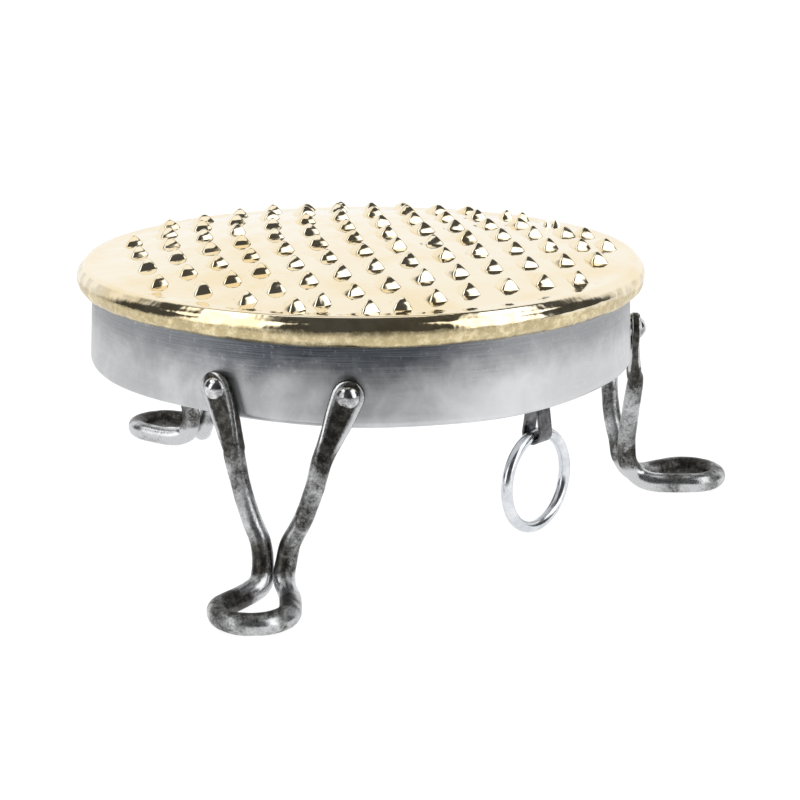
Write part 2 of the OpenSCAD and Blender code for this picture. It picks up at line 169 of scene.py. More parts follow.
def table(x, rows):
    """Straight-line lookup of x in rows of (x, value), held at both ends."""
    for (x0, v0), (x1, v1) in zip(rows, rows[1:]):
        if x < x1:
            return v0 + (v1 - v0) * max(0.0, (x - x0) / (x1 - x0))
    return rows[-1][1]


def at_ring(p):
    """A point drawn at RING_C on the X axis, moved to where the pull ring hangs."""
    q = spin(Vector((p[0] - RING_C, p[1], 0)), RING_TURN)
    return Vector((q.x + RING_AT.x, q.y + RING_AT.y, p[2]))


def make_piece(name, points, faces, body, material, replaced=(), sharp=32, wear=None):
    """A mesh piece from points in millimetres about the pan axis."""
    mesh = bpy.data.meshes.new(name)
    mesh.from_pydata([Vector(p) * MM + AXIS for p in points], [], faces)
    mesh.validate()
    mesh.polygons.foreach_set("use_smooth", [True] * len(mesh.polygons))
    mesh.set_sharp_from_angle(angle=math.radians(sharp))
    if wear is not None:
        attribute = mesh.attributes.new("wear", "FLOAT", "POINT")
        attribute.data.foreach_set("value", wear)
    mesh.materials.append(material)
    piece = bpy.data.objects.new(name, mesh)
    bpy.context.scene.collection.objects.link(piece)
    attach(piece, body)
    if replaced:
        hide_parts(*replaced)
    return piece


def ring_faces(rings, closed_rows=False, first=0):
    """Quads between rings of equal length, each a closed loop of points; first is the number of the first point."""
    n, rows = len(rings[0]), len(rings)
    faces = []
    for i in range(rows if closed_rows else rows - 1):
        k = (i + 1) % rows
        for j in range(n):
            m = (j + 1) % n
            faces.append((first + i * n + j, first + k * n + j, first + k * n + m, first + i * n + m))
    return faces


def end_caps(rings, first=0):
    """One face over each end of a tube of rings; first is the number of its first point."""
    n, last = len(rings[0]), first + (len(rings) - 1) * len(rings[0])
    return [tuple(range(first, first + n)), tuple(last + j for j in reversed(range(n)))]


def flipped(faces):
    """The same faces seen from the other side."""
    return [tuple(reversed(f)) for f in faces]


def lathe_rings(profile, steps, shift=None):
    """Rings of a profile of (radius, height) turned about the pan axis. shift(r, z, angle) gives (dr, dz)."""
    rings = []
    for r, z in profile:
        ring = []
        for j in range(steps):
            a = math.tau * j / steps
            dr, dz = shift(r, z, a) if shift else (0, 0)
            ring.append(Vector(((r + dr) * math.cos(a), (r + dr) * math.sin(a), z + dz)))
        rings.append(ring)
    return rings


def arc(cx, cz, r, start, end, steps):
    """Points (x, z) on a circle, from one angle to another in degrees."""
    return [(cx + r * math.cos(math.radians(start + (end - start) * i / steps)),
             cz + r * math.sin(math.radians(start + (end - start) * i / steps))) for i in range(steps + 1)]


# ---------------------------------------------------------------- material helpers
class Nodes:
    """A small wrapper that adds nodes to one tree and joins them."""

    def __init__(self, tree):
        self.tree = tree

    def node(self, kind, **values):
        made = self.tree.nodes.new("ShaderNode" + kind)
        for key, value in values.items():
            setattr(made, key, value)
        return made

    def link(self, source, target):
        self.tree.links.new(source, target)

    def put(self, socket, value):
        """Joins a node's output to a socket, or sets the socket to a plain value."""
        if hasattr(value, "is_output"):
            self.link(value, socket)
        else:
            socket.default_value = value

    def math(self, operation, a, b=0.0):
        made = self.node("Math", operation=operation)
        self.put(made.inputs[0], a)
        self.put(made.inputs[1], b)
        return made.outputs[0]

    def times(self, first, *others):
        for other in others:
            first = self.math("MULTIPLY", first, other)
        return first

    def plus(self, first, *others):
        for other in others:
            first = self.math("ADD", first, other)
        return first

    def ramp(self, value, low, high, out_low=0.0, out_high=1.0):
        """A soft step: out_low where value is low, out_high where it is high; low may be the larger one."""
        made = self.node("MapRange", interpolation_type="SMOOTHSTEP")
        self.put(made.inputs["Value"], value)
        for key, number in (("From Min", low), ("From Max", high), ("To Min", out_low), ("To Max", out_high)):
            made.inputs[key].default_value = number
        return made.outputs[0]

    def xyz(self, place):
        """The three coordinates of a place, each as an output."""
        split = self.node("SeparateXYZ")
        self.link(place, split.inputs[0])
        return split.outputs

    def camera_ray(self):
        """1 where the camera sees the surface itself, 0 in reflections and for light."""
        return self.node("LightPath").outputs["Is Camera Ray"]


class Shader(Nodes):
    """The nodes of one new material."""

    def __init__(self, name):
        self.material = bpy.data.materials.new(name)
        self.material.use_nodes = True
        super().__init__(self.material.node_tree)
        self.base = next(n for n in self.tree.nodes if n.type == "BSDF_PRINCIPLED")

    def place(self):
        """Millimetres about the pan axis, fixed to the piece."""
        coordinate = self.node("TexCoord").outputs["Object"]
        mapping = self.node("Mapping")
        mapping.inputs["Location"].default_value = -AXIS / MM
        mapping.inputs["Scale"].default_value = (1 / MM,) * 3
        self.link(coordinate, mapping.inputs["Vector"])
        return mapping.outputs[0]

    def round_place(self, around=1.0, up=1.0):
        """Coordinates that run round the pan wall, in millimetres times the two factors."""
        x, y, z = self.xyz(self.place())
        angle = self.math("ARCTAN2", y, x)
        join = self.node("CombineXYZ")
        self.link(self.times(self.math("SINE", angle), PAN_R * around), join.inputs[0])
        self.link(self.times(self.math("COSINE", angle), PAN_R * around), join.inputs[1])
        self.link(self.times(z, up), join.inputs[2])
        return join.outputs[0]

    def stretch(self, place, x, y, z, turn=0.0):
        """A place turned about Z in degrees and scaled, for a noise with a grain."""
        mapping = self.node("Mapping")
        mapping.inputs["Scale"].default_value = (x, y, z)
        mapping.inputs["Rotation"].default_value = (0, 0, math.radians(turn))
        self.link(place, mapping.inputs["Vector"])
        return mapping.outputs[0]

    def noise(self, place, scale, detail=3.0, roughness=0.5, distortion=0.0):
        made = self.node("TexNoise")
        self.link(place, made.inputs["Vector"])
        made.inputs["Scale"].default_value = scale
        made.inputs["Detail"].default_value = detail
        made.inputs["Roughness"].default_value = roughness
        made.inputs["Distortion"].default_value = distortion
        return made.outputs[0]

    def mix(self, factor, a, b):
        made = self.node("Mix", data_type="RGBA")
        self.put(made.inputs["Factor"], factor)
        self.put(made.inputs["A"], a)
        self.put(made.inputs["B"], b)
        return made.outputs["Result"]

    def bump(self, height, strength, distance):
        """Adds a bump of that depth in millimetres to whatever bump is there already."""
        made = self.node("Bump")
        made.inputs["Strength"].default_value = strength
        made.inputs["Distance"].default_value = distance * MM
        self.link(height, made.inputs["Height"])
        if self.base.inputs["Normal"].links:
            self.link(self.base.inputs["Normal"].links[0].from_socket, made.inputs["Normal"])
        self.link(made.outputs[0], self.base.inputs["Normal"])

    def finish(self, color, roughness, metallic=1.0):
        self.put(self.base.inputs["Base Color"], color)
        self.put(self.base.inputs["Roughness"], roughness)
        self.base.inputs["Metallic"].default_value = metallic
        return self.material


def rgb(r, g, b):
    return (r, g, b, 1.0)


WHITE = rgb(1, 1, 1)
BRASS_PALE, BRASS_WARM = rgb(0.94, 0.845, 0.65), rgb(0.92, 0.77, 0.50)
# The last brass colour on the next line is a painted shade for the side of the rim.
BRASS_GRIMY, BRASS_RUBBED, BRASS_PAINTED_SHADE = rgb(0.60, 0.48, 0.26), rgb(0.93, 0.81, 0.52), rgb(0.36, 0.29, 0.15)
# The last steel colour on the next line is a painted highlight; the first steel colour on the line after it is a
# painted shade.
STEEL_DULL, STEEL_LIGHT, STEEL_PAINTED_SHEEN = rgb(0.50, 0.51, 0.52), rgb(0.70, 0.71, 0.72), rgb(0.88, 0.88, 0.89)
STEEL_PAINTED_SHADE, STEEL_SCRATCHED, STEEL_SPECK = rgb(0.055, 0.065, 0.085), rgb(0.26, 0.28, 0.31), rgb(0.82, 0.83, 0.84)
SCALE_DARK, SCALE_LIGHT, BARE_STEEL = rgb(0.035, 0.032, 0.029), rgb(0.12, 0.115, 0.105), rgb(0.62, 0.63, 0.64)


def brass_material():
    """Polished sheet with warm patches; the rim has mottled painted shade down its side, and is rubbed and grimy at
    its lower edge.
    """
    s = Shader("polished_brass")
    place = s.place()
    height = s.xyz(place)[2]
    patches = s.ramp(s.noise(place, 0.022, 3, 0.55), 0.42, 0.68)
    color = s.mix(patches, BRASS_PALE, BRASS_WARM)
    wipes = s.noise(s.stretch(place, 0.06, 0.9, 0.4, 35), 0.35, 4, 0.6)
    roughness = s.ramp(wipes, 0.35, 0.75, 0.05, 0.13)
    dents = s.noise(place, 0.1, 2, 0.5)
    grime = s.noise(place, 0.3, 5, 0.7)
    low = s.ramp(s.plus(height, s.times(dents, 3.0)), BORDER_Z - 4.6, BORDER_Z - 6.2)
    # Mask of the rim's side just below its crease, where the painted shade goes.
    side = s.ramp(height, BORDER_Z - 1.2, BORDER_Z - 2.4)
    rubbed = s.mix(s.ramp(grime, 0.42, 0.62), BRASS_GRIMY, BRASS_RUBBED)
    color = s.mix(s.times(low, 0.85), color, rubbed)
    # Painted shade: the side of the rim darkened in mottled patches.
    color = s.mix(s.times(side, s.ramp(dents, 0.62, 0.42, 0.05, 0.4)), color, BRASS_PAINTED_SHADE)
    roughness = s.plus(roughness, s.times(low, s.ramp(grime, 0.3, 0.7, 0.16, 0.3)))
    s.bump(s.noise(place, 0.11, 2, 0.5), 0.35, 0.3)
    s.bump(s.noise(s.stretch(place, 0.5, 4.0, 1.0, -28), 0.6, 3, 0.6), 0.12, 0.02)
    s.bump(dents, 0.4, 0.7)
    s.bump(s.times(grime, low), 0.5, 0.12)
    return s.finish(color, roughness)


def pan_material():
    """Satin sheet: painted shade with scratches under the rim, most in front, and a painted bright sheen on the right.
    """
    s = Shader("pan_steel")
    around = s.round_place()
    x, _, height = s.xyz(s.place())
    blotches = s.noise(around, 0.035, 5, 0.6, 0.4)
    brushed = s.noise(s.round_place(0.03, 1.3), 1.0, 4, 0.7)
    specks = s.ramp(s.noise(around, 0.35, 5, 0.75), 0.56, 0.7)
    scratches = s.ramp(s.noise(s.round_place(0.02, 2.6), 1.0, 3, 0.7), 0.46, 0.6)
    front = s.times(s.ramp(x, -128, -50), s.ramp(x, 105, 20))
    # Mask of a painted highlight: the right of the wall is lightened towards a bright sheen.
    right = s.times(s.ramp(x, 15, 70), s.ramp(x, 175, 85, 0.22, 0.5))
    # Painted shade under the rim: darker towards the top of the wall and stronger in front, with its lower edge made
    # uneven by noise.
    shade_edge_wobble = s.times(s.noise(around, 0.05, 4, 0.6), 26.0)
    painted_shade_top = s.ramp(s.plus(height, shade_edge_wobble), PAN_Z + 26, PAN_Z + 52)
    shade_with_scratches = s.mix(s.times(scratches, 0.5), STEEL_PAINTED_SHADE, STEEL_SCRATCHED)
    steel = s.mix(s.ramp(blotches, 0.35, 0.7), STEEL_DULL, STEEL_LIGHT)
    # Painted highlight on the right of the wall.
    steel = s.mix(right, steel, STEEL_PAINTED_SHEEN)
    # Painted shade under the rim, with lighter scratches in it.
    steel = s.mix(s.times(painted_shade_top, s.plus(s.times(front, 0.42), 0.52)), steel, shade_with_scratches)
    steel = s.mix(s.times(specks, 0.3), steel, STEEL_SPECK)
    roughness = s.plus(s.ramp(blotches, 0.3, 0.7, 0.3, 0.46), s.ramp(brushed, 0.3, 0.7, -0.05, 0.07))
    s.bump(brushed, 0.25, 0.04)
    s.bump(blotches, 0.3, 0.25)
    return s.finish(steel, roughness)


def forged_material():
    """Dark forge scale, rubbed bright where the wear of the mesh is high."""
    s = Shader("forged_steel")
    place = s.place()
    wear = s.node("Attribute", attribute_name="wear").outputs["Fac"]
    coarse = s.noise(place, 0.11, 5, 0.62, 0.6)
    fine = s.noise(place, 0.7, 4, 0.7)
    patchy = s.plus(s.times(coarse, 0.7), s.times(fine, 0.5))
    bright = s.ramp(s.plus(wear, patchy), 0.72, 1.16)
    blots = s.ramp(s.noise(place, 0.28, 5, 0.75), 0.40, 0.66)
    color = s.mix(bright, s.mix(blots, SCALE_DARK, SCALE_LIGHT), BARE_STEEL)
    roughness = s.plus(s.ramp(bright, 0.0, 1.0, 0.42, 0.24), s.ramp(fine, 0.3, 0.7, -0.05, 0.07))
    s.bump(coarse, 0.5, 0.35)
    s.bump(fine, 0.35, 0.09)
    return s.finish(color, roughness)


def plain_material(name, dark, light, rough, grain, depth, metallic=1.0):
    """A cloudy surface between two colours, with grain per millimetre and a bump of that depth in millimetres."""
    s = Shader(name)
    place = s.place()
    cloud = s.noise(place, grain, 4, 0.6, 0.3)
    fine = s.noise(place, grain * 5, 3, 0.6)
    color = s.mix(s.ramp(cloud, 0.35, 0.68), rgb(*dark), rgb(*light))
    s.bump(cloud, 0.4, depth)
    s.bump(fine, 0.3, depth / 4)
    return s.finish(color, s.ramp(fine, 0.3, 0.7, *rough), metallic)


BRASS = brass_material()
PAN_STEEL = pan_material()
FORGED = forged_material()
RIVET = plain_material("rivet_steel", dark=(0.26, 0.26, 0.27), light=(0.76, 0.76, 0.77),
                       rough=(0.08, 0.2), grain=0.22, depth=0.35)
ZINC = plain_material("bright_zinc", dark=(0.66, 0.69, 0.73), light=(0.84, 0.86, 0.88),
                      rough=(0.12, 0.26), grain=0.12, depth=0.06)
STRAP = plain_material("strap_steel", dark=(0.10, 0.10, 0.105), light=(0.22, 0.22, 0.23),
                       rough=(0.16, 0.28), grain=0.25, depth=0.06)
PLAIN = plain_material("plain_steel", dark=(0.24, 0.24, 0.25), light=(0.42, 0.42, 0.43),
                       rough=(0.34, 0.5), grain=0.2, depth=0.08)
IRON = plain_material("cast_iron", dark=(0.030, 0.030, 0.032), light=(0.085, 0.083, 0.08),
                      rough=(0.55, 0.75), grain=0.5, depth=0.3)
CLAY = plain_material("fireclay", dark=(0.30, 0.20, 0.14), light=(0.50, 0.37, 0.27),
                      rough=(0.8, 0.95), grain=0.12, depth=0.8, metallic=0.0)


# ---------------------------------------------------------------- brass lid
def dome_z(r):
    """Height of the plain lid plate, a low dome that falls to its border at DOME_R."""
    k = min(r, DOME_R) / DOME_R
    return BORDER_Z + DOME_RISE * (1 - 0.62 * k ** 2 - 0.38 * k ** 4)


def tilt(x, y):
    """The hand-fitted lid sits a touch higher on the right and at the back."""
    return 1.6 * (x + LID_R) / (2 * LID_R) + 0.9 * smooth(60, LID_R, x) + 1.0 * y / 150


def boss_centres():
    """Middles of the bosses: slanting rows that fan out a little towards the edge."""
    a = Vector((math.cos(math.radians(BOSS_A_DIR)), math.sin(math.radians(BOSS_A_DIR)))) * BOSS_A
    b = Vector((math.cos(math.radians(BOSS_B_DIR)), math.sin(math.radians(BOSS_B_DIR)))) * BOSS_B
    centres = []
    for j, start, end in BOSS_ROWS:
        for i in range(start, end + 1):
            u, v = i / 6, j / 4
            fan = Vector((7.3 * u * u + 9.2 * u * v + 8.3 * v * v
                          - 7.7 * u ** 3 - 13.3 * u * u * v - 5.2 * u * v * v + 3.5 * v ** 3,
                          1.1 * u * u + 5.6 * u * v + 9.3 * v * v))
            p = BOSS_FIRST + i * a + j * b + fan
            centres.append(p * min(1.0, BOSS_FIELD_R / p.length))
    return centres


def hollow(d):
    """How the sheet sinks round a boss, at a distance from its middle."""
    return -0.85 * math.exp(-(d / 10.0) ** 2)


def boss_outline(radius, bevel, bulge):
    """A square outline with its corners cut back by bevel and its sides bulged, both as shares of the radius."""
    points = []
    for k in range(4):
        a = Vector((math.cos(k * math.pi / 2), math.sin(k * math.pi / 2)))
        b = Vector((math.cos((k + 1) * math.pi / 2), math.sin((k + 1) * math.pi / 2)))
        for t in SIDE_STEPS:
            p = a.lerp(b, t)
            end = min(t, 1 - t)
            cut = 1 - bevel * max(0.0, 1 - end / 0.09) ** 2
            points.append(p * radius * cut * (1 + bulge * 4 * t * (1 - t)))
    return points


def boss_levels(rng):
    """One boss as rings of (plan offsets, height above the plate), with its tip's plan offset and height."""
    turn = math.radians(BOSS_TURN + rng.uniform(-9, 9))
    size = rng.uniform(0.93, 1.07)
    height = BOSS_H * rng.uniform(0.92, 1.08)
    tip = Vector((rng.uniform(-0.2, 0.9), rng.uniform(-0.5, 0.5)))
    stretch = rng.uniform(0.94, 1.06)
    turned = Matrix(((math.cos(turn), -math.sin(turn)), (math.sin(turn), math.cos(turn))))
    levels = []
    for u, z, bevel, bulge in BOSS_LEVELS:
        ring = []
        for p in boss_outline(BOSS_R * size * u, bevel, bulge):
            q = turned @ Vector((p.x * stretch, p.y / stretch))
            ring.append(q + tip * (1 - u))
        levels.append((ring, height * z))
    return levels, tip, height


def rim_shift(r, z, a):
    """Hand-dressed unevenness of the rolled rim, growing towards its lower edge, which hangs higher on the left."""
    c, s = math.cos(a), math.sin(a)
    k = smooth(RIM_START + 1, RIM_START + 6, r)
    low = smooth(BORDER_Z - 4, RIM_Z, z)
    dr = k * (0.45 * wobble(c * 4, s * 4, z * 0.05, 1) + 0.14 * wobble(c * 20, s * 20, z * 0.2, 2))
    dz = k * 0.3 * wobble(c * 5, s * 5, 0, 3)
    dz += low * (0.5 * wobble(c * 9, s * 9, 0, 4) + 0.25 * wobble(c * 30, s * 30, 0, 5)
                 + 1.5 * smooth(-0.1, -0.6, c) - 0.5 * math.exp(-((c - 0.1) / 0.16) ** 2))
    return min(dr, 0.5), dz + tilt(r * c, r * s)


def placed_bosses():
    """Each boss as (middle, levels, tip, height), shrunk where it would touch a neighbour or the border."""
    rng = random.Random(5)
    centres = [p + Vector((rng.uniform(-0.6, 0.6), rng.uniform(-0.7, 0.7))) for p in boss_centres()]
    bosses = []
    for c in centres:
        levels, tip, height = boss_levels(rng)
        nearest = min((c - other).length / 2 for other in centres if other is not c)
        room = min(nearest, RIM_START - c.length) - BOSS_GAP
        fit = min(1.0, room / max(p.length for p in levels[0][0]))
        bosses.append((c, [([p * fit for p in ring], z) for ring, z in levels], tip * fit, height))
    return bosses


def plate_plan(bosses):
    """Plan points of the plate with their rises and owners: the base rings of the bosses first, the border last."""
    plan, rise, owner = [], [], []
    centres = [boss[0] for boss in bosses]

    def put(p, z, boss=-1):
        plan.append(p)
        rise.append(z)
        owner.append(boss)

    for n, (c, levels, _, _) in enumerate(bosses):
        for p in levels[0][0]:
            put(c + p, hollow(p.length), n)
    for c, levels, _, _ in bosses:
        for grow in (0.6, 1.4, 2.6):
            for p in levels[0][0][::2]:
                q = c + p + p.normalized() * grow
                if min((q - other).length for other in centres) > (q - c).length - 1e-6:
                    put(q, hollow((q - c).length))
    step = 2.6                                          # a grid of triangles fills the rest
    row_step = step * 0.866
    rows = int(LID_R / row_step) + 1
    for i in range(-rows, rows + 1):
        for j in range(-rows - 6, rows + 7):
            p = Vector(((j + 0.5 * (i % 2)) * step, i * row_step))
            if p.length > RIM_START - 1.5:
                continue
            near = min((p - c).length for c in centres)
            if near > BOSS_R * 1.1 + 3.6:
                put(p, hollow(near))
    for j in range(RIM_STEPS):
        a = math.tau * j / RIM_STEPS
        put(Vector((RIM_START * math.cos(a), RIM_START * math.sin(a))), 0.0)
    return plan, rise, owner


def plate_top(p, rise):
    """Point of the finished plate above a plan point."""
    wave = 0.25 * wobble(p.x / 30, p.y / 30, 0, 6) * smooth(RIM_START, RIM_START - 12, p.length)
    return Vector((p.x, p.y, dome_z(math.hypot(p.x, p.y)) + rise + tilt(p.x, p.y) + wave))


def plate_surface():
    """The plate's upper side with its bosses: points, faces, and the point numbers of its border in order.

    The flat plan is cut into triangles round the bosses, which are then set on their base rings."""
    bosses = placed_bosses()
    plan, rise, owner = plate_plan(bosses)
    first_border = len(plan) - RIM_STEPS
    edges = [(first_border + j, first_border + (j + 1) % RIM_STEPS) for j in range(RIM_STEPS)]
    for n in range(len(bosses)):
        edges += [(n * OUTLINE + j, n * OUTLINE + (j + 1) % OUTLINE) for j in range(OUTLINE)]
    flat, _, triangles, source, _, _ = geometry.delaunay_2d_cdt(plan, edges, [], 0, 1e-5)
    top = [plate_top(p, rise[origins[0]]) for p, origins in zip(flat, source)]
    lookup = {origin: i for i, origins in enumerate(source) for origin in origins}

    faces = []
    for a, b, c in triangles:
        owners = {owner[source[k][0]] for k in (a, b, c)}
        if len(owners) == 1 and -1 not in owners:
            continue                                    # inside the base of a boss
        if (flat[b] - flat[a]).cross(flat[c] - flat[a]) < 0:
            b, c = c, b
        faces.append((a, b, c))

    base = hollow(BOSS_R * 0.8)
    for n, (c, levels, tip, height) in enumerate(bosses):
        inner = [lookup[n * OUTLINE + j] for j in range(OUTLINE)]
        for ring, z in levels[1:]:
            outer, inner = inner, []
            for p in ring:
                lift = base if z > 0.2 * height else hollow(p.length)
                inner.append(len(top))
                top.append(plate_top(c + p, lift + z))
            faces += [(outer[j], outer[(j + 1) % OUTLINE], inner[(j + 1) % OUTLINE], inner[j])
                      for j in range(OUTLINE)]
        top.append(plate_top(c + tip, base + height))
        faces += [(inner[j], inner[(j + 1) % OUTLINE], len(top) - 1) for j in range(OUTLINE)]
    return top, faces, [lookup[first_border + j] for j in range(RIM_STEPS)]


def build_lid():
    """The bossed plate, its underside, and the rolled rim that joins the two."""
    top, faces, border = plate_surface()
    count = len(top)
    underside = [Vector((p.x, p.y, max(p.z - BRASS_T, MOUTH_Z + CLEAR))) for p in top]
    faces += [tuple(count + k for k in reversed(f)) for f in faces]

    profile = [(LID_R + out, BORDER_Z + up) for out, up in RIM_OUTSIDE]
    profile += [(RIM_LIP_R, BORDER_Z + up) for up in RIM_LIP_UP]
    profile += [(LID_R + out, BORDER_Z + up) for out, up in RIM_INSIDE]
    rings = lathe_rings(profile, RIM_STEPS, rim_shift)
    first = 2 * count
    last = first + (len(rings) - 1) * RIM_STEPS
    faces += flipped(ring_faces(rings, first=first))
    for j in range(RIM_STEPS):
        k = (j + 1) % RIM_STEPS
        faces.append((border[j], first + j, first + k, border[k]))
        faces.append((count + border[k], last + k, last + j, count + border[j]))
    points = top + underside + [p for ring in rings for p in ring]
    make_piece("brass_lid", points, faces, "lid", BRASS, ["lid_plate"], sharp=40)


# ---------------------------------------------------------------- steel pan
def pan_shift(r, z, a):
    """The wall is a little out of round, and its lower edge is wavy and sags in front."""
    c, s = math.cos(a), math.sin(a)
    k = smooth(120, 150, r)
    low = k * smooth(PAN_Z + 40, PAN_Z + 4, z)
    away = abs((math.degrees(a) - PAN_SAG_AZ + 180) % 360 - 180)
    return (-0.35 * k * (0.5 + 0.5 * wobble(c * 3.4, s * 3.4, z * 0.02, 11)),
            low * (0.3 * wobble(c * 3, s * 3, 0, 12) - PAN_SAG * smooth(52, 10, away)))


def build_pan():
    """One closed section turned about the axis: floor, corner, wall and rolled mouth, then back down inside."""
    bead_r, bead_z = MOUTH_R - BEAD_R, MOUTH_Z - BEAD_R
    corner_r, corner_z = PAN_R - CORNER_R, PAN_Z + CORNER_R
    steps = 12
    wall = [(PAN_R - (PAN_R - MOUTH_R) * k / steps, corner_z + (bead_z - corner_z) * k / steps)
            for k in range(1, steps)]
    floor_r = (30, 80, 130)
    profile = ([(r, PAN_Z) for r in floor_r]
               + arc(corner_r, corner_z, CORNER_R, -90, 0, 8) + wall
               + arc(bead_r, bead_z, BEAD_R, 0, 250, 22) + arc(bead_r, bead_z, BEAD_R - SHEET_T, 250, 0, 16)
               + [(r - SHEET_T, z) for r, z in reversed(wall)]
               + arc(corner_r, corner_z, CORNER_R - SHEET_T, 0, -90, 5)
               + [(r, PAN_Z + SHEET_T) for r in reversed(floor_r)])
    rings = lathe_rings(profile, 360, pan_shift)
    points = [p for ring in rings for p in ring]
    faces = flipped(ring_faces(rings, closed_rows=True))
    make_piece("fire_pan", points, faces, "stand", PAN_STEEL, ["pan"], sharp=40)


# ---------------------------------------------------------------- forged legs
def catmull(a, b, c, d, t):
    """Point between b and c on the smooth curve through all four."""
    return 0.5 * (2 * b + (c - a) * t + (2 * a - 5 * b + 4 * c - d) * t * t + (3 * b - a - 3 * c + d) * t ** 3)


def at_arm(r, z):
    """A point straight out from the pan axis in line with one rivet."""
    a = math.radians(ARM_HALF)
    return Vector((r * math.cos(a), r * math.sin(a), z))


def half_leg():
    """Stations of one arm and half its foot loop: (middle, half width, half thickness, squareness, way).

    The way is the distance below the rivet: along the flat end, and straight down from there on."""
    arm = [Vector(p) for p in ARM]
    rivet = at_arm(SEAT_R + BAR_R, RIVET_Z)
    length = (arm[0] - rivet).length
    down = (arm[0] - rivet) / length

    def station(p, way):
        # Above the rivet the flat ends in a half circle.
        w = math.sqrt(max(0.4, (FLAT_W / 2) ** 2 - way * way)) if way < 0 else table(way, END_W)
        return p, w, table(way, END_T), table(way, END_SQUARE), way

    def below(p):
        return station(p, length + arm[0].z - p.z)

    stations = [station(at_arm(SEAT_R + table(way, END_OFF), RIVET_Z) + way * down, way) for way in FLAT_AT]
    loop = []
    for i in range(15):
        g = math.radians(104 * (1 - i / 14))
        loop.append(Vector((LOOP_C + LOOP_R * math.cos(g), LOOP_R * math.sin(g), LOOP_Z)))
    guide = [stations[-3][0]] + arm + loop[:2]
    for i in range(1, len(guide) - 2):
        for n in range(5):
            stations.append(below(catmull(guide[i - 1], guide[i], guide[i + 1], guide[i + 2], n / 5)))
    return stations + [below(p) for p in loop]


def arm_rings(sides):
    """Rings round the stations of half a leg, with the wear of each point."""
    stations = half_leg()
    last = len(stations) - 1
    rings, wears = [], []
    width = Vector((-math.sin(math.radians(ARM_HALF)), math.cos(math.radians(ARM_HALF)), 0))
    for i, (middle, w, t, square, way) in enumerate(stations):
        ahead, behind = stations[min(last, i + 1)][0], stations[max(0, i - 1)][0]
        tangent = Vector((0, -1, 0)) if i == last else (ahead - behind).normalized()
        width = (width - width.dot(tangent) * tangent).normalized()
        across = tangent.cross(width)
        ring, wear = [], []
        for j in range(sides):
            a = math.tau * j / sides
            c, s = math.cos(a), math.sin(a)
            k = (abs(c) ** square + abs(s) ** square) ** (-1 / square)      # 1 on a side, more at a corner
            ring.append(middle + width * (w * c * k) + across * (t * s * k))
            wear.append(0.6 * smooth(1.06, 1.22, k) + 0.34 * smooth(26, 48, way) - 0.1 * smooth(20, 0, way))
        rings.append(ring)
        wears.append(wear)
    return rings, wears


def leg_mesh(seed, sway):
    """Rings of one whole leg, pointing along +X, and the wear of each point: two arms, hammered and leaning."""
    sides = 28
    rings, wears = arm_rings(sides)
    rings += [[Vector((p.x, -p.y, p.z)) for p in ring] for ring in reversed(rings[:-1])]
    wears += list(reversed(wears[:-1]))
    flat_wear = []
    for ring, wear in zip(rings, wears):
        middle = sum(ring, Vector()) / sides
        for p, w in zip(ring, wear):
            out = (p - middle).normalized()
            dent = (0.17 * wobble(p.x / 9, p.y / 9, p.z / 9, seed)
                    + 0.13 * wobble(p.x / 3.5, p.y / 3.5, p.z / 3.5, seed + 1))
            free = smooth(PAN_Z - 6, PAN_Z - 26, p.z)       # 0 beside the pan, where a bulge would cut into it
            p += out * (free * (dent - 0.12) + (1 - free) * (min(dent, 0.0) - 0.05))
            p.y += sway * table(p.z, SWAY_AT)
            outward = (math.hypot(p.x - LOOP_C, p.y) - LOOP_R) * smooth(17, 10, p.z)
            w += 0.03 * outward - 0.14 * smooth(36, 24, p.z)
            flat_wear.append(w + 0.2 * wobble(p.x / 14, p.y / 14, p.z / 22, seed + 2))
            p.z = max(p.z, 0.0)
    return rings, flat_wear


def build_leg(name, seed):
    rings, wear = leg_mesh(seed, SWAY[name])
    points = [spin(p, LEG_AZ[name]) for ring in rings for p in ring]
    faces = ring_faces(rings) + end_caps(rings)
    make_piece("forged_leg_" + name, points, faces, "stand", FORGED, ["leg_" + name], sharp=50, wear=wear)


def button_rings(radius, height, base, steps, seed, out):
    """Rings of a hammered rivet head along +X (out = 1) or -X, from its rim on the plane x = base to its crown."""
    ball = (radius ** 2 + height ** 2) / (2 * height)
    rows = 8
    rings = []
    for i in range(rows + 1):
        h = height * math.sin(math.radians(90 * i / rows))
        r = math.sqrt(max(0.0, ball ** 2 - (ball - height + h) ** 2))
        ring = []
        for j in range(steps):
            a = math.tau * j / steps
            y, z = r * math.cos(a), r * math.sin(a)
            dent = 0.22 * wobble(y / 2.6, z / 2.6, out, seed) * smooth(0, 0.4, i / rows)
            ring.append(Vector((base + out * (h + dent), y, z)))
        rings.append(ring)
    return rings


def build_rivets(name, seed):
    """Two rivets of one leg: hammered outer head, shank, and the smaller head set inside the pan."""
    steps = 28
    points, faces = [], []
    for side in (-1, 1):
        outer = button_rings(HEAD_D / 2, HEAD_H, SEAT_R + FLAT_T - 0.1, steps, seed + side, 1)
        inner = button_rings(INNER_HEAD_D / 2, INNER_HEAD_H, INNER_HEAD_AT, steps, seed + side + 3, -1)
        rings = list(reversed(inner)) + outer
        first = len(points)
        for ring in rings:
            points += [spin(p + Vector((0, 0, RIVET_Z)), LEG_AZ[name] + side * ARM_HALF) for p in ring]
        faces += flipped(ring_faces(rings, first=first)) + end_caps(rings, first)
    make_piece("rivet_heads_" + name, points, faces, "stand", RIVET, ["rivets_" + name], sharp=50)


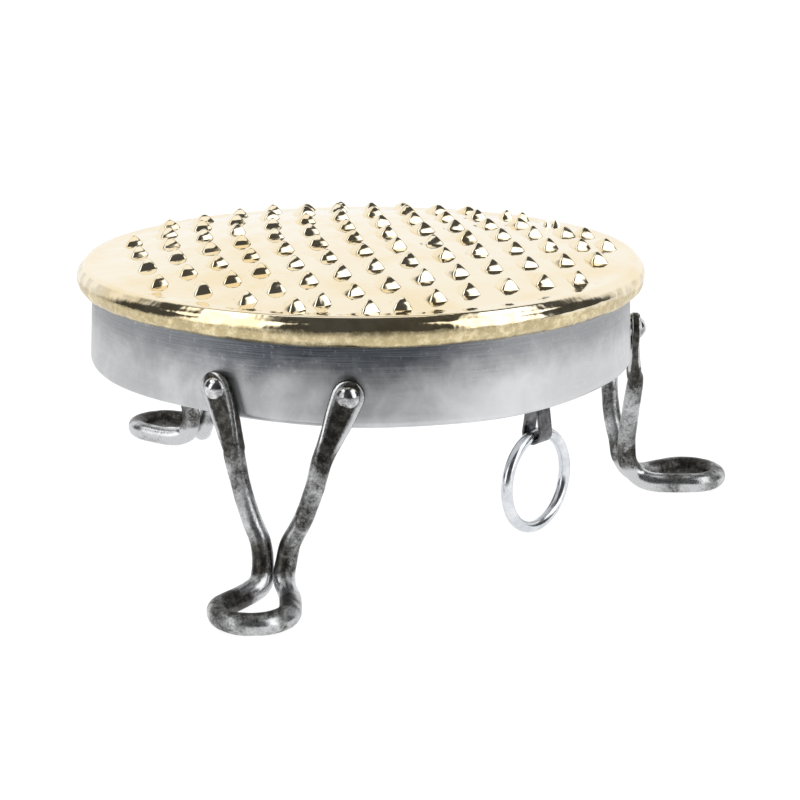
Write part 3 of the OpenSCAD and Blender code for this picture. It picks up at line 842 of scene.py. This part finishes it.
# ---------------------------------------------------------------- pull ring and its strap
def build_ring():
    """A round ring of wire, a touch thicker where it is welded."""
    middle_r = (RING_OD - RING_WIRE) / 2
    steps, sides = 144, 28
    weld_at, weld_half = 4.1, 0.09          # radians round the ring
    rings = []
    for i in range(steps):
        a = math.tau * i / steps
        weld = math.exp(-((a - weld_at) / weld_half) ** 2)
        r = RING_WIRE / 2 + 0.22 * weld * (0.5 + wobble(i * 0.7, 0, 0, 21)) - 0.02
        ring = []
        for j in range(sides):
            b = math.tau * j / sides
            d = middle_r + r * math.cos(b)
            p = Vector((RING_C + r * math.sin(b), d * math.sin(a), EYE_Z - middle_r + d * math.cos(a)))
            ring.append(at_ring(p))
        rings.append(ring)
    points = [p for ring in rings for p in ring]
    faces = flipped(ring_faces(rings, closed_rows=True))
    make_piece("zinc_ring", points, faces, "ring", ZINC, ["pull_ring"])


def strap_line():
    """Middle line of the strap, as (out, up): from under the floor, down, round the eye and back up."""
    eye, middle = EYE_R + STRAP_T / 2, EYE_Z + EYE_UP
    top = PAN_Z - CLEAR - STRAP_T / 2
    side = (THROAT - STRAP_T) / 2
    tail = RING_C - STRAP_TAIL
    inner = [(-side - 2.2, 0), (-side - 0.9, -0.5), (-side - 0.15, -1.6)]
    outer = [(side + 0.2, -2.6), (side - 0.2, -1.1), (side - 1.2, -0.2), (side - 2.6, 0)]
    return ([(tail, top - STRAP_T)] + [(RING_C + x, top - STRAP_T + z) for x, z in inner]
            + arc(RING_C, middle, eye, 167, 373, 26)
            + [(RING_C + x, top + z) for x, z in outer] + [(tail, top)])


# Section of the strap with its corners eased, in half widths and half thicknesses.
STRAP_SECTION = ((-1, -0.6), (-0.94, -1), (0.94, -1), (1, -0.6), (1, 0.6), (0.94, 1), (-0.94, 1), (-1, 0.6))


def build_strap():
    """One strip folded round the wire."""
    line = strap_line()
    rings = []
    for i, (x, z) in enumerate(line):
        a, b = line[max(0, i - 1)], line[min(len(line) - 1, i + 1)]
        t = Vector((b[0] - a[0], b[1] - a[1])).normalized()
        normal = Vector((-t.y, 0, t.x))
        rings.append([at_ring(Vector((x, w * STRAP_W / 2, z)) + normal * (h * STRAP_T / 2 * 0.97))
                      for w, h in STRAP_SECTION])
    points = [p for ring in rings for p in ring]
    faces = ring_faces(rings) + end_caps(rings)
    make_piece("folded_strap", points, faces, "stand", STRAP, ["ring_strap"], sharp=30)


def dress_cad_nodes():
    """Nodes whose CAD shape is right keep it and get their material."""
    looks = {"pan_rim_wire": PLAIN, "lid_rim_wire": PLAIN, "hearth_lining": CLAY, "fire_grate": IRON,
             "tuyere_socket": IRON, "tuyere_rivets": PLAIN, "strap_rivets": PLAIN,
             "burrs_front": PLAIN, "burrs_right": PLAIN, "burrs_rear": PLAIN}
    for name, material in looks.items():
        node = frame["nodes"][name]
        node.data.materials.clear()
        node.data.materials.append(material)


# ---------------------------------------------------------------- floor, light and camera
def build_floor():
    """White floor that glows: even for the camera, and in reflections dim in front and bright from the forge back."""
    mesh = bpy.data.meshes.new("floor")
    size = 6.0
    mesh.from_pydata([(-size, -size, 0), (size, -size, 0), (size, size, 0), (-size, size, 0)], [], [(0, 1, 2, 3)])
    floor = bpy.data.objects.new("floor", mesh)
    bpy.context.scene.collection.objects.link(floor)
    s = Shader("floor_white")
    reflected = s.ramp(s.xyz(s.place())[1], -900, -350, 0.12, 0.8)
    s.put(s.base.inputs["Emission Strength"], s.math("MAXIMUM", s.times(s.camera_ray(), 0.9), reflected))
    s.base.inputs["Emission Color"].default_value = WHITE
    s.base.inputs["Base Color"].default_value = rgb(0.3, 0.3, 0.3)
    s.base.inputs["Roughness"].default_value = 0.9
    s.base.inputs["Specular IOR Level"].default_value = 0.0
    mesh.materials.append(s.material)


def build_world():
    """White studio: bright behind and overhead, dark in front where the camera stands, with panels each side."""
    world = bpy.data.worlds.new("studio")
    bpy.context.scene.world = world
    world.use_nodes = True
    s = Nodes(world.node_tree)
    background = next(n for n in s.tree.nodes if n.type == "BACKGROUND")
    x, y, z = s.xyz(s.node("TexCoord").outputs["Generated"])
    side = s.math("ARCTAN2", s.math("ABSOLUTE", x), y)      # 0 straight behind, pi straight in front
    sweep = s.times(s.ramp(side, 0.95, 1.2, 1.0, 0.0), s.ramp(z, 0.64, 0.80, 1.0, 0.0))
    front_box = s.times(s.ramp(side, 1.75, 1.9), s.ramp(side, 2.35, 2.5, 1.0, 0.0), s.ramp(z, 0.86, 0.91, 1.0, 0.0))
    upper_box = s.times(s.ramp(side, 1.35, 1.5), s.ramp(side, 1.9, 2.0, 1.0, 0.0),
                        s.ramp(z, 0.60, 0.66), s.ramp(z, 0.86, 0.91, 1.0, 0.0))
    boxes = s.math("MINIMUM", s.plus(front_box, upper_box), 1.0)
    strength = s.plus(s.times(sweep, 0.94), s.times(boxes, 1.8), 0.07)
    seen = s.camera_ray()
    s.put(background.inputs["Strength"], s.plus(seen, s.times(s.math("SUBTRACT", 1.0, seen), strength)))
    background.inputs["Color"].default_value = WHITE


def build_lights():
    data = bpy.data.lights.new("overhead_softbox", "AREA")
    data.shape = "RECTANGLE"
    data.size, data.size_y = 1.6, 1.2
    data.energy = 6
    lamp = bpy.data.objects.new("overhead_softbox", data)
    lamp.location = AXIS + Vector((-0.3, 0.2, 1.9))
    lamp.rotation_euler = (math.radians(-6), math.radians(-9), 0)
    bpy.context.scene.collection.objects.link(lamp)


def build_camera():
    """Stands in front and above, turned a degree to the right of the pan axis, as fitted to the photograph."""
    distance, height = 1.309, 0.411
    yaw, pitch, roll = (math.radians(v) for v in (1.012, 14.747, -0.282))
    forward = Vector((math.sin(yaw) * math.cos(pitch), math.cos(yaw) * math.cos(pitch), -math.sin(pitch)))
    level = Vector((math.cos(yaw), -math.sin(yaw), 0))
    down = forward.cross(level)
    right = level * math.cos(roll) + down * math.sin(roll)
    below = down * math.cos(roll) - level * math.sin(roll)
    data = bpy.data.cameras.new("camera")
    data.lens = 101.5
    data.sensor_width = 36
    camera = bpy.data.objects.new("camera", data)
    turn = Matrix((right, -below, -forward)).transposed().to_4x4()
    camera.matrix_world = Matrix.Translation(AXIS + Vector((0, -distance, height))) @ turn
    bpy.context.scene.collection.objects.link(camera)
    bpy.context.scene.camera = camera
    bpy.context.scene.view_settings.view_transform = "Standard"


build_camera()
build_world()
build_lights()
build_floor()
build_lid()
build_pan()
for seed, leg in enumerate(LEG_AZ):
    build_leg(leg, 31 + 5 * seed)
    build_rivets(leg, 61 + 5 * seed)
build_ring()
build_strap()
dress_cad_nodes()
